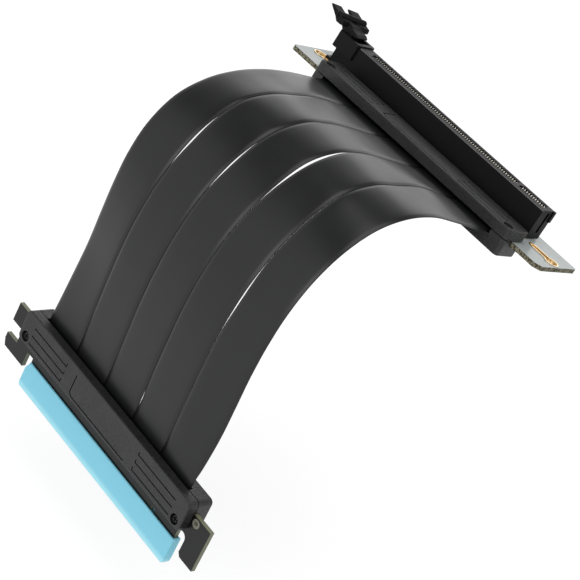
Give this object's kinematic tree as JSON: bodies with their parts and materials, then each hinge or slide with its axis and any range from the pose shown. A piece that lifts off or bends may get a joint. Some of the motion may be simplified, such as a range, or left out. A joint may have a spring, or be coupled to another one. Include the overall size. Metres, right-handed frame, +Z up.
{
  "type": "gpu riser cable",
  "caption": "Riser cable for a graphics card: a capped card-edge plug and a latched slot in two-shell housings, joined by flat black ribbons that rise and arch over.",
  "frame": {"origin": "middle of the card edge's bottom face, half way through the board's thickness", "axes": "+Z up, away from the gold fingers; +Y along both connectors towards the plug's hook and the slot's latch; +X from the plug towards the slot end"},
  "size_m": [0.1133, 0.1267, 0.1345],
  "materials": {
    "plug_board": "satin black solder mask on glass laminate, gold fingers",
    "slot_board": "glossy black solder mask on glass laminate",
    "plating": "gold plating",
    "shell": "spark-eroded matte black",
    "slot_plastic": "fine matte black",
    "screw": "black oxide",
    "ribbon": "satin black jacket",
    "finger_cap": "soft translucent light blue"
  },
  "bodies": {
    "riser": {"plug_board": "plug_board", "plug_front_shell": "shell", "plug_back_shell": "shell", "plug_screw_latch_side": "screw", "plug_screw_bracket_side": "screw", "ribbon_1": "ribbon", "ribbon_2": "ribbon", "ribbon_3": "ribbon", "ribbon_4": "ribbon", "ribbon_5": "ribbon", "slot_board": "slot_board", "keyhole_plating_bracket_side": "plating", "keyhole_plating_latch_side": "plating", "slot_connector": "slot_plastic", "slot_upper_shell": "shell", "slot_lower_shell": "shell", "slot_screw_latch_side": "screw", "slot_screw_bracket_side": "screw"},
    "cap": {"finger_cap": "finger_cap"},
    "latch": {"latch_lever": "slot_plastic"}
  },
  "joints": [
    {"name": "cap_slide", "type": "slide", "parent": "riser", "child": "cap", "axis": [0, 0, -1], "range_m": [0, 0.012]},
    {"name": "latch_hinge", "type": "hinge", "parent": "riser", "child": "latch", "pos_m": [0.09436, 0.06009, 0.12334], "axis": [-0.9845, -0.0668, 0.1623], "range_deg": [0, 25]}
  ]
}
